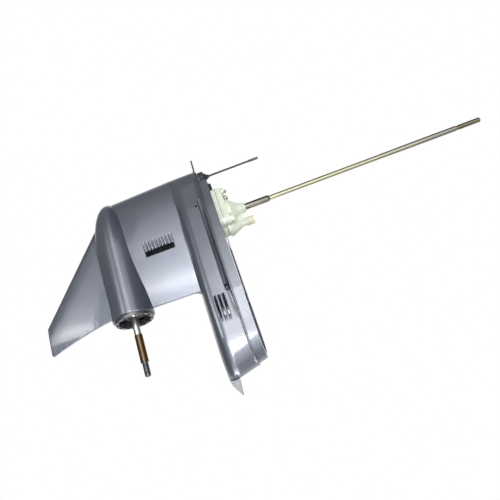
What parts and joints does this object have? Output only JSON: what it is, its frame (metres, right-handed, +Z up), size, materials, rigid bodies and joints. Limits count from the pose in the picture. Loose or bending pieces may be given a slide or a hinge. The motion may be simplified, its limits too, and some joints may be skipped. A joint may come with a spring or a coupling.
{
  "type": "outboard lower unit",
  "caption": "Outboard motor lower unit: gearcase with strut, bullet and skeg, propeller shaft, driveshaft, shift rod and water pump.",
  "frame": {"origin": "centre of the rectangle of casing bolts, on the mating face at the top of the gearcase", "axes": "+X aft along the propeller shaft, +Y to starboard, +Z up along the driveshaft"},
  "size_m": [0.659, 0.133, 1.241],
  "materials": {
    "paint": "gloss",
    "ivory_plastic": "satin",
    "dark_steel": "satin",
    "black_plastic": "matte",
    "grey_metal": "satin",
    "dark_aluminium": "satin",
    "black_rubber": "matte",
    "bearing_steel": "polished",
    "driveshaft_steel": "satin",
    "gear_steel": "satin",
    "propshaft_steel": "polished",
    "shift_rod_steel": "satin",
    "bronze": "satin",
    "bolt_steel": "satin",
    "olive_rubber": "matte"
  },
  "bodies": {
    "gearcase": {"gearcase_housing": "paint", "inlet_screen_port": "ivory_plastic", "inlet_screen_starboard": "ivory_plastic", "drain_plug": "dark_steel", "drain_plug_gasket": "black_plastic", "level_plug": "dark_steel", "level_plug_gasket": "black_plastic", "anode_tab": "grey_metal", "tab_bolt": "dark_steel", "bearing_carrier": "dark_aluminium", "carrier_ring_seal": "black_rubber", "tab_washer": "dark_steel", "carrier_ring_nut": "dark_aluminium", "propshaft_needle_bearing": "bearing_steel", "propshaft_seals": "black_rubber", "reverse_bearing_outer": "bearing_steel", "forward_bearing_cup": "bearing_steel", "driveshaft_needle_bearing": "bearing_steel", "upper_bearing_cup": "bearing_steel", "seal_housing": "dark_aluminium", "driveshaft_seals": "black_rubber", "shift_rod_bush": "bronze", "boot_retainer": "dark_steel", "shift_boot": "black_rubber", "pump_base_gasket": "black_rubber", "pump_base": "ivory_plastic", "wear_plate_lower_gasket": "black_rubber", "wear_plate": "bearing_steel", "wear_plate_upper_gasket": "black_rubber", "pump_housing": "ivory_plastic", "pump_cup": "bearing_steel", "pump_bolts": "bolt_steel", "pump_shaft_seal": "black_rubber", "water_tube_grommet": "olive_rubber", "deck_pad": "black_rubber"},
    "driveshaft_assembly": {"driveshaft": "driveshaft_steel", "pinion_gear": "gear_steel", "pinion_nut": "dark_steel", "impeller": "black_rubber", "impeller_key": "bearing_steel", "upper_bearing_cone": "bearing_steel"},
    "forward_gear_assembly": {"forward_gear": "gear_steel", "forward_bearing_cone": "bearing_steel"},
    "reverse_gear_assembly": {"reverse_gear": "gear_steel", "reverse_bearing_inner": "bearing_steel"},
    "propshaft_assembly": {"propshaft": "propshaft_steel"},
    "clutch": {"clutch_dog": "gear_steel", "cross_pin": "bearing_steel", "pin_spring": "bearing_steel", "shift_plunger": "gear_steel"},
    "shift_slide": {"shift_slider": "gear_steel"},
    "shift_rod_assembly": {"shift_rod": "shift_rod_steel", "shift_crank": "gear_steel"}
  },
  "joints": [
    {"name": "driveshaft_spin", "type": "hinge", "parent": "gearcase", "child": "driveshaft_assembly", "pos_m": [-0.1485, 0, 0], "axis": [0, 0, 1], "continuous": true},
    {"name": "forward_gear_spin", "type": "hinge", "parent": "gearcase", "child": "forward_gear_assembly", "pos_m": [-0.1485, 0, -0.287], "axis": [1, 0, 0], "continuous": true},
    {"name": "reverse_gear_spin", "type": "hinge", "parent": "gearcase", "child": "reverse_gear_assembly", "pos_m": [-0.1485, 0, -0.287], "axis": [1, 0, 0], "continuous": true},
    {"name": "propshaft_spin", "type": "hinge", "parent": "gearcase", "child": "propshaft_assembly", "pos_m": [-0.1485, 0, -0.287], "axis": [1, 0, 0], "continuous": true},
    {"name": "shift_rod_turn", "type": "hinge", "parent": "gearcase", "child": "shift_rod_assembly", "pos_m": [-0.2785, 0, 0], "axis": [0, 0, 1], "range_deg": [-38, 38]},
    {"name": "shift_slider_slide", "type": "slide", "parent": "gearcase", "child": "shift_slide", "axis": [1, 0, 0], "range_m": [-0.0066, 0.0066]},
    {"name": "clutch_slide", "type": "slide", "parent": "propshaft_assembly", "child": "clutch", "axis": [1, 0, 0], "range_m": [-0.0066, 0.0066]}
  ],
  "couplings": [
    {"joint": "forward_gear_spin", "follows": "driveshaft_spin", "ratio": 0.5},
    {"joint": "reverse_gear_spin", "follows": "driveshaft_spin", "ratio": -0.5},
    {"joint": "shift_slider_slide", "follows": "shift_rod_turn", "m_per_rad": -0.009283},
    {"joint": "clutch_slide", "follows": "shift_rod_turn", "m_per_rad": -0.009283}
  ]
}
